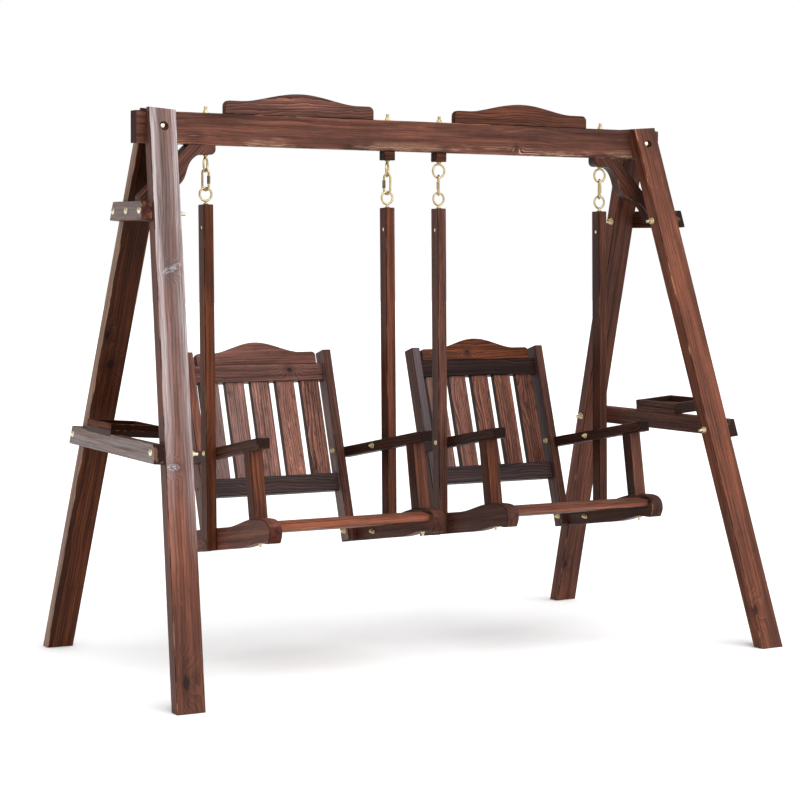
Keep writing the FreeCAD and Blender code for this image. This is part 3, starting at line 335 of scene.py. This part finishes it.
def metal(name, colour=(0.78, 0.62, 0.34), rough=0.26, full=1.0, centre=None):
    """Yellow-passivated zinc plating: warm, a little cloudy, with fine scratches.
    centre = x of a chair's middle; heads sunk in its stiles and low on its posts are stained over."""
    g = Graph(name)
    co = g.node("ShaderNodeTexCoord").outputs["Object"]
    cloud = g.noise(co, 60.0, 3.0, 0.6)
    fine = g.noise(co, 900.0, 2.0, 0.6)
    col = g.mix(g.smooth(cloud, 0.35, 0.70), tuple(c * 0.66 for c in colour), colour)
    col = g.mix(g.math("MULTIPLY", g.smooth(fine, 0.55, 0.8), 0.25), col, (0.30, 0.20, 0.09))
    b = g.node("ShaderNodeBsdfPrincipled")
    g.put(b.inputs["Base Color"], col)
    b.inputs["Metallic"].default_value = full
    gloss = g.math("MULTIPLY_ADD", cloud, 0.22, rough - 0.08)
    if centre is not None:
        x, y, z = g.split(co)
        off = g.math("ABSOLUTE", g.math("SUBTRACT", x, centre))
        behind = g.math("GREATER_THAN", y, 0.110)
        small = g.math("MULTIPLY", g.math("MULTIPLY", behind, g.math("LESS_THAN", off, 0.2835)), g.math("GREATER_THAN", off, 0.2660))
        away = g.math("GREATER_THAN", g.math("ABSOLUTE", g.math("SUBTRACT", z, 0.657)), 0.030)
        small = g.math("MULTIPLY", small, away)
        low = g.math("MULTIPLY", g.math("GREATER_THAN", off, 0.3350), g.math("LESS_THAN", z, 0.50))
        stain = g.math("MAXIMUM", small, low)
        g.put(b.inputs["Base Color"], g.mix(stain, col, (0.060, 0.030, 0.022)))
        g.put(b.inputs["Metallic"], g.math("MULTIPLY_ADD", stain, -full, full))
        gloss = g.math("MULTIPLY_ADD", stain, 0.3, gloss)
    g.put(b.inputs["Roughness"], gloss)
    bump = g.node("ShaderNodeBump")
    bump.inputs["Strength"].default_value = 0.06
    bump.inputs["Distance"].default_value = 0.0002
    g.put(bump.inputs["Height"], fine)
    # rounds the small facets of rings and heads
    soft_edge = g.node("ShaderNodeBevel", samples=6)
    soft_edge.inputs["Radius"].default_value = 0.0022
    g.put(bump.inputs["Normal"], soft_edge.outputs[0])
    g.put(b.inputs["Normal"], bump.outputs[0])
    g.nt.links.new(b.outputs[0], g.out.inputs[0])
    return g.mat


def floor_material():
    g = Graph("pale_floor")
    co = g.node("ShaderNodeTexCoord").outputs["Object"]
    n = g.noise(co, 3.0, 3.0, 0.5)
    col = g.mix(g.smooth(n, 0.3, 0.7), (0.93, 0.93, 0.93), (0.95, 0.95, 0.95))
    b = g.node("ShaderNodeBsdfPrincipled")
    g.put(b.inputs["Base Color"], col)
    b.inputs["Roughness"].default_value = 0.9
    b.inputs["Specular IOR Level"].default_value = 0.1
    g.nt.links.new(b.outputs[0], g.out.inputs[0])
    return g.mat


# ------------------------------------------------------------------ dress the nodes
PSI, TH = math.radians(2.4455), math.radians(4.3166)


def end_frame(s):
    return Matrix.Rotation(s * PSI, 3, "Z") @ Matrix.Rotation(-s * TH, 3, "Y")


def wear_on(node, mat):
    o = nodes[node]
    o.data.materials.clear()
    o.data.materials.append(mat)


X, Y, Z = Vector((1, 0, 0)), Vector((0, 1, 0)), Vector((0, 0, 1))
LEG = math.atan(0.316)
LOOK = {}


def look(node, **kw):
    LOOK[node] = kw


# colour of the painted sheen on the left braces' outer sides
GREY = (0.254, 0.222, 0.212)
# per-part looks; the sheen settings and most -X and -Y side factors below are painted light and shade on the sides they
# name
look("leg_front_left", tone=0.60, warm=0.45, figure=0.6, veil=1.0, veil_fade=(Z, 0.36, 1.02), veil_core=0.021, veil_face=-Y, film=(0.435, 0.390, 0.398), loose=0.0,
     knots=(((-1.008, -0.200, 1.275), 0.009, 1.2), ((-1.084, -0.384, 0.693), 0.009, 1.0), ((-1.128, -0.576, 0.086), 0.012, 2.2)),
     spikes=(((-1.008, -0.200, 1.275), 0.036, 0.011, -0.5), ((-1.084, -0.384, 0.693), 0.020, 0.012, -0.1)))
look("leg_rear_left", tone=0.36, warm=0.88, figure=0.9, deep=(Z, 1.15, 1.60, 0.60), shade=(-0.030, 0.012, 0.20), veil=0.85, veil_face=-X, film=(0.310, 0.180, 0.120), loose=0.0, wear=1.0,
     knots=(((-1.018, 0.251, 0.965), 0.013, 1.4), ((-1.040, 0.221, 1.060), 0.007, 2.0)))
look("leg_front_right", tone=0.66, warm=0.6, figure=0.55, shade=(-0.022, -0.050, 0.50), wave=0.006, wander=0.012, loose=0.0, wear=1.0, knots=(((0.991, -0.562, 0.129), 0.010, 2.0),))
look("leg_rear_right", tone=0.45, warm=0.45, figure=0.5, wave=0.008, faces=((-X, (1.5, 1.5, 1.5)),), loose=0.0, wear=1.0, knots=(((0.947, 0.509, 0.148), 0.009, 2.0),))
look("upper_brace_left", veil=0.58, veil_face=-X, film=GREY, figure=0.3, tone=0.45, warm=0.3, faces=((-Y, (1.0, 0.70, 0.50)),), fleck=0.2, ends=0.3)
look("lower_brace_left", veil=0.90, veil_face=-X, film=GREY, figure=0.3, tone=0.60, warm=0.3, faces=((-Y, (0.14, 0.11, 0.11)),), fleck=0.2, ends=0.7)
look("upper_brace_right", tone=0.40, warm=0.6)
look("lower_brace_right", tone=0.54, warm=0.3, figure=0.8)
look("tray_base_left", tone=0.25, warm=0.9)
look("tray_rim_left", tone=0.60, warm=0.9, faces=((-Y, (0.10, 0.08, 0.08)),), gloss=0.02)
look("tray_base_right", tone=0.42, warm=0.2)
look("tray_rim_right", tone=0.52, warm=0.3)
look("corner_bracket_left", tone=0.58, warm=0.2, figure=0.6)
look("corner_bracket_right", tone=0.27, warm=0.35, figure=0.7, wear=1.0)
look("beam_crest_left", figure=1.9, tone=0.72, warm=0.05, wave=0.030, wander=0.030, ring=0.0075, fleck=0.15, run=0.9, wear=0.3)
look("beam_crest_right", figure=1.1, tone=0.48, warm=0.60, wave=0.016, run=0.9, wear=0.3)
look("top_beam", tone=0.62, warm=0.30, deep=(X, -0.3, 0.9, 0.32), figure=0.55, ring=0.0055, wave=0.009, wander=0.014, pale=(-Z, -1.700, -1.668), run=0.6,
     knots=(((-0.1405, -0.0225, 1.648), 0.013, 6.0), ((0.3555, -0.0225, 1.689), 0.006, 1.5), ((-0.4745, -0.0225, 1.645), 0.013, 5.0),
            ((0.10, -0.0225, 1.645), 0.010, 6.0), ((0.72, -0.0225, 1.645), 0.012, 6.0)), loose=0.4)
for side, s in (("left", -1), ("right", 1)):
    R = end_frame(s)
    for end, e in (("front", -1), ("rear", 1)):
        axis = R @ (Matrix.Rotation(e * LEG, 3, "X") @ Z)
        face = R @ (Matrix.Rotation(e * LEG, 3, "X") @ Y)
        k = "leg_%s_%s" % (end, side)
        wear_on(k, timber(k, axis, face, seed=1.0 + s + 0.4 * e, **LOOK.get(k, {})))
    for k in ("upper_brace_", "lower_brace_"):
        wear_on(k + side, timber(k + side, R @ Y, R @ X, seed=3.3 + s + len(k) * 0.1 + (0.7 if k[0] == "u" else 0), **LOOK.get(k + side, {})))
    wear_on("tray_base_" + side, timber("tray_base_" + side, R @ Y, R @ Z, seed=5.1 + s, **LOOK.get("tray_base_" + side, {})))
    wear_on("tray_rim_" + side, timber("tray_rim_" + side, R @ Y, R @ X, seed=6.1 + s, **LOOK.get("tray_rim_" + side, {})))
    wear_on("corner_bracket_" + side, timber("corner_bracket_" + side, R @ Vector((-s * 0.62, 0, 0.78)), Y, seed=7.7 + s, curved=True, **LOOK.get("corner_bracket_" + side, {})))
    wear_on("beam_crest_" + side, timber("beam_crest_" + side, X, Y, seed=8.4 + s, curved=True, **LOOK.get("beam_crest_" + side, {})))
wear_on("top_beam", timber("top_beam", X, Y, seed=2.2, **LOOK.get("top_beam", {})))
wear_on("spacer_blocks", timber("spacer_blocks", X, Y, seed=9.2, tone=0.42, warm=0.9))
wear_on("crest_dowels", timber("crest_dowels", Z, Y, seed=4.0))

BACK = math.atan2(197.0, 634.0)
BR = Matrix.Rotation(-BACK, 3, "X")
ARM = math.atan(0.1835)
AR = Matrix.Rotation(-ARM, 3, "X")
PR = Matrix.Rotation(-math.radians(1.6), 3, "X")
# painted shade on the -X sides of the arm posts
SIDE = ((-X, (0.70, 0.66, 0.70)),)
LOW = dict(wear=0.25, run=0.9)
FRONT = BR @ -Y
for k, kw in (("post_left", dict(tone=0.44, warm=0.7, figure=0.6)), ("post_right", dict(tone=0.48, warm=0.6, figure=0.6)),
              ("side_rail_left", dict(tone=0.70, warm=0.3, figure=0.5, faces=((-Y, (0.42, 0.30, 0.24)),))),
              ("side_rail_right", dict(tone=0.45, warm=0.35, figure=0.6, faces=((-Y, (0.70, 0.60, 0.55)),))),
              ("armrest_left", dict(tone=0.38, warm=0.2, gloss=0.07)), ("armrest_right", dict(tone=0.22, warm=0.1, gloss=0.06)),
              ("arm_post_left", dict(tone=0.50, warm=0.85, figure=0.7, faces=SIDE)), ("arm_post_right", dict(tone=0.50, warm=0.7, figure=0.7, faces=SIDE)),
              ("stile_left", dict(tone=0.42, warm=0.15, veil=0.25, figure=0.6)), ("stile_right", dict(tone=0.54, warm=0.15, figure=0.6, faces=((-X, (1.75, 2.8, 3.5)),))),
              ("back_top_rail", dict(tone=0.56, warm=-0.1, figure=0.6)), ("back_bottom_rail", dict(tone=0.16, warm=-0.25, veil=0.10, gloss=0.06, figure=1.7, wave=0.020, film=(0.22, 0.21, 0.23))),
              ("back_crest", dict(tone=0.66, warm=0.05, figure=0.5)),
              ("seat_slats", dict(tone=0.98, warm=0.6, figure=0.5))):
    look("left_chair_" + k, **kw, **LOW)
    look("right_chair_" + k, **kw, **LOW)
look("left_chair_post_left", tone=0.40, warm=0.95, figure=0.6, faces=((-X, (1.2, 1.4, 1.8)),), **LOW)
look("left_chair_post_right", tone=0.50, warm=0.7, figure=0.6, faces=((-X, (0.65, 0.5, 0.45)),), **LOW)
look("left_chair_stile_left", tone=0.72, warm=0.25, figure=0.6, veil=0.6, veil_face=-X, film=(0.150, 0.118, 0.108), **LOW)
look("left_chair_back_slats", tone=1.50, warm=0.08, tan=0.16, mottle=0.55, depths=(0.55, 0.60, 0.66, 1.0, 0.52), faces=((-X, (0.22, 0.20, 0.20)),), figure=1.7, pith=(0.11, 0.09), wave=0.010, wander=0.014, ring=0.0052, fleck=0.95, veil=0.30, veil_fade=(-X, 0.25, 0.75), wear=0.2, run=1.0)
look("right_chair_back_slats", tone=0.90, warm=0.35, tan=0.10, mottle=0.45, depths=(0.9, 1.0, 0.96, 0.84, 0.62), faces=((-X, (0.25, 0.22, 0.22)),), figure=1.7, pith=(0.11, 0.09), wave=0.010, wander=0.014, ring=0.0052, fleck=0.95, veil=0.2, veil_fade=(-X, -0.45, -0.1), wear=0.2, run=1.0)
look("right_chair_post_left", tone=0.44, warm=0.2, figure=0.6, **LOW)
look("right_chair_post_right", tone=0.36, warm=0.5, figure=0.6, **LOW)
look("right_chair_stile_left", tone=0.40, warm=0.25, veil=0.75, veil_face=FRONT, film=(0.105, 0.092, 0.104), figure=0.6, faces=((-X, (0.85, 0.80, 0.80)),), **LOW)
look("right_chair_stile_right", tone=0.34, warm=0.25, figure=0.6, faces=((-X, (1.0, 1.5, 2.0)),), **LOW)
look("left_chair_back_top_rail", tone=0.56, warm=-0.1, figure=0.7, knots=(((-0.3592, 0.2685, 0.9304), 0.009, 1.2),), loose=0.3, **LOW)
look("right_chair_back_top_rail", tone=0.08, warm=-0.1, veil=0.02, gloss=0.04, **LOW)
look("right_chair_back_crest", tone=0.56, warm=1.0, figure=1.3, wave=0.020, knots=(((0.36, 0.22, 1.0), 0.006, 1.6),), **LOW)
look("right_chair_armrest_left", tone=0.26, warm=0.2, gloss=0.06, **LOW)
look("right_chair_armrest_right", tone=0.20, warm=0.1, gloss=0.06, **LOW)
look("right_chair_side_rail_left", tone=0.34, warm=0.2, figure=0.6, **LOW)
look("right_chair_side_rail_right", tone=0.30, warm=0.2, figure=0.6, wear=0.6, run=0.8)
look("right_chair_seat_slats", tone=0.72, warm=0.4, figure=0.5, **LOW)
look("right_chair_arm_post_left", tone=0.50, warm=0.95, figure=0.7, faces=((-X, (0.55, 0.5, 0.5)),), **LOW)
look("right_chair_arm_post_right", tone=0.44, warm=0.4, figure=0.7, faces=((-X, (0.4, 0.4, 0.4)),), **LOW)
for side, s in (("left", -1), ("right", 1)):
    xc = SHIFT + (-0.4255 if s < 0 else 0.4335)
    pre = side + "_chair_"
    sd = 12.0 * (s + 2)
    for i, e in enumerate(("left", "right")):
        wear_on(pre + "post_" + e, timber(pre + "post_" + e, PR @ Z, Y, ring=0.006, seed=sd + 0.3 + i, **LOOK.get(pre + "post_" + e, {})))
        wear_on(pre + "side_rail_" + e, timber(pre + "side_rail_" + e, Vector((0, -0.985, 0.17)), X, ring=0.006, seed=sd + 2.3 + i, curved=True, **LOOK.get(pre + "side_rail_" + e, {})))
        wear_on(pre + "armrest_" + e, timber(pre + "armrest_" + e, AR @ Y, AR @ Z, ring=0.006, seed=sd + 4.3 + i, **LOOK.get(pre + "armrest_" + e, {})))
        wear_on(pre + "arm_post_" + e, timber(pre + "arm_post_" + e, AR @ Z, AR @ Y, ring=0.006, seed=sd + 6.3 + i, **LOOK.get(pre + "arm_post_" + e, {})))
        wear_on(pre + "stile_" + e, timber(pre + "stile_" + e, BR @ Z, BR @ Y, ring=0.006, seed=sd + 8.3 + i, **LOOK.get(pre + "stile_" + e, {})))
    for j, k in enumerate(("back_top_rail", "back_bottom_rail", "back_crest")):
        wear_on(pre + k, timber(pre + k, X, BR @ Y, ring=0.0065, seed=sd + 10.1 + 0.6 * j, curved=k == "back_crest", **LOOK.get(pre + k, {})))
    wear_on(pre + "back_slats", timber(pre + "back_slats", BR @ Z, BR @ Y, seed=sd + 11.9, groups=((1, 0, 0), 0.094, xc + (0.008 if s > 0 else -0.005)), **LOOK.get(pre + "back_slats", {})))
    wear_on(pre + "seat_slats", timber(pre + "seat_slats", X, Z, ring=0.006, seed=sd + 12.4, groups=((0, 1, 0), 0.0665, -0.3671), **LOOK.get(pre + "seat_slats", {})))

zinc = metal("yellow_zinc", colour=(0.60, 0.465, 0.25), rough=0.30)
dull = metal("dark_zinc", colour=(0.20, 0.17, 0.09), rough=0.34)
pale_zinc = metal("pale_zinc", colour=(0.80, 0.70, 0.52))
wear_on("frame_bolts", pale_zinc)
wear_on("frame_nuts", metal("nut_zinc", colour=(0.86, 0.70, 0.42), rough=0.34, full=0.80))
for k in ("upper_eye_bolts", "left_quick_links", "right_quick_links", "right_link_sleeves",
          "left_chair_eye_bolts", "right_chair_eye_bolts"):
    wear_on(k, zinc)
for side, x in (("left", -0.4255), ("right", 0.4335)):
    wear_on(side + "_chair_fasteners", metal(side + "_chair_zinc", colour=(0.86, 0.70, 0.38), rough=0.34, full=0.82, centre=SHIFT + x))
wear_on("left_link_sleeves", dull)

# ------------------------------------------------------------------ stage
mesh = bpy.data.meshes.new("floor")
mesh.from_pydata([(-40, -40, 0), (40, -40, 0), (40, 40, 0), (-40, 40, 0)], [], [(0, 1, 2, 3)])
floor = bpy.data.objects.new("floor", mesh)
floor.location = (0, 0, -0.001)
scene.collection.objects.link(floor)
mesh.materials.append(floor_material())

scene.view_settings.view_transform = "Standard"
world = bpy.data.worlds.new("studio")
scene.world = world
world.use_nodes = True
wn = world.node_tree
bg = wn.nodes["Background"]
bg.inputs[0].default_value = (1.0, 1.0, 1.0, 1)
# white all round to the eye, with the light itself fading from the front and top towards the back and sides,
# and a few soft boxes and dark gaps for the hardware to mirror
def wmath(op, a, b):
    n = wn.nodes.new("ShaderNodeMath")
    n.operation = op
    for socket, value in zip(n.inputs, (a, b)):
        if isinstance(value, bpy.types.NodeSocket):
            wn.links.new(value, socket)
        else:
            socket.default_value = value
    return n.outputs[0]


def toward(direction, lo, hi, a, b):
    dot = wn.nodes.new("ShaderNodeVectorMath")
    dot.operation = "DOT_PRODUCT"
    wn.links.new(way.outputs["Generated"], dot.inputs[0])
    dot.inputs[1].default_value = Vector(direction).normalized()
    n = wn.nodes.new("ShaderNodeMapRange")
    n.interpolation_type = "SMOOTHSTEP"
    for key, value in (("From Min", lo), ("From Max", hi), ("To Min", a), ("To Max", b)):
        n.inputs[key].default_value = value
    wn.links.new(dot.outputs["Value"], n.inputs["Value"])
    return n.outputs["Result"]


def choose(flag, a, b):
    n = wn.nodes.new("ShaderNodeMapRange")
    for socket, value in ((n.inputs["Value"], flag), (n.inputs["To Min"], a), (n.inputs["To Max"], b)):
        if isinstance(value, bpy.types.NodeSocket):
            wn.links.new(value, socket)
        else:
            socket.default_value = value
    return n.outputs["Result"]


path = wn.nodes.new("ShaderNodeLightPath")
way = wn.nodes.new("ShaderNodeTexCoord")
soft = toward((0.25, -0.75, 0.65), -0.5, 0.8, 0.35, 1.25)
boxes = wmath("ADD", toward((-0.55, -0.6, 0.6), 0.80, 0.92, 0.0, 1.2), toward((0.75, -0.55, 0.45), 0.84, 0.93, 0.0, 0.9))
boxes = wmath("ADD", boxes, toward((-0.5, 0.85, 0.12), 0.90, 0.96, 0.0, 0.9))
boxes = wmath("ADD", wmath("ADD", boxes, toward((-1.0, -0.2, 0.15), 0.90, 0.97, 0.0, 0.7)), 0.36)
level = choose(path.outputs["Is Camera Ray"], choose(path.outputs["Is Glossy Ray"], soft, boxes), 1.0)
wn.links.new(level, bg.inputs[1])


def sun(name, toward, strength, spread):
    d = bpy.data.lights.new(name, "SUN")
    d.energy = strength
    d.angle = math.radians(spread)
    o = bpy.data.objects.new(name, d)
    o.rotation_euler = Vector(toward).to_track_quat("-Z", "Y").to_euler()
    o.location = (0, 0, 4)
    scene.collection.objects.link(o)
    return o


sun("key", (-0.30, 1.0, -0.95), 2.5, 80)

# ------------------------------------------------------------------ camera
yaw, pitch, roll = math.radians(30.3514594), math.radians(-4.0795068), math.radians(0.3967926)
fw = Vector((math.sin(yaw) * math.cos(pitch), math.cos(yaw) * math.cos(pitch), math.sin(pitch)))
rt = Vector((math.cos(yaw), -math.sin(yaw), 0))
up = rt.cross(fw)
right = rt * math.cos(roll) + up * math.sin(roll)
up2 = up * math.cos(roll) - rt * math.sin(roll)
cam = bpy.data.cameras.new("camera")
cam.sensor_width = 36.0
cam.lens = 2141.91456 * 36.0 / 800.0
cam.clip_end = 200
co = bpy.data.objects.new("camera", cam)
m = Matrix((right, up2, -fw)).transposed().to_4x4()
m.translation = Vector((-3.6473166 + SHIFT, -6.1601772, 1.3460178))
co.matrix_world = m
scene.collection.objects.link(co)
scene.camera = co
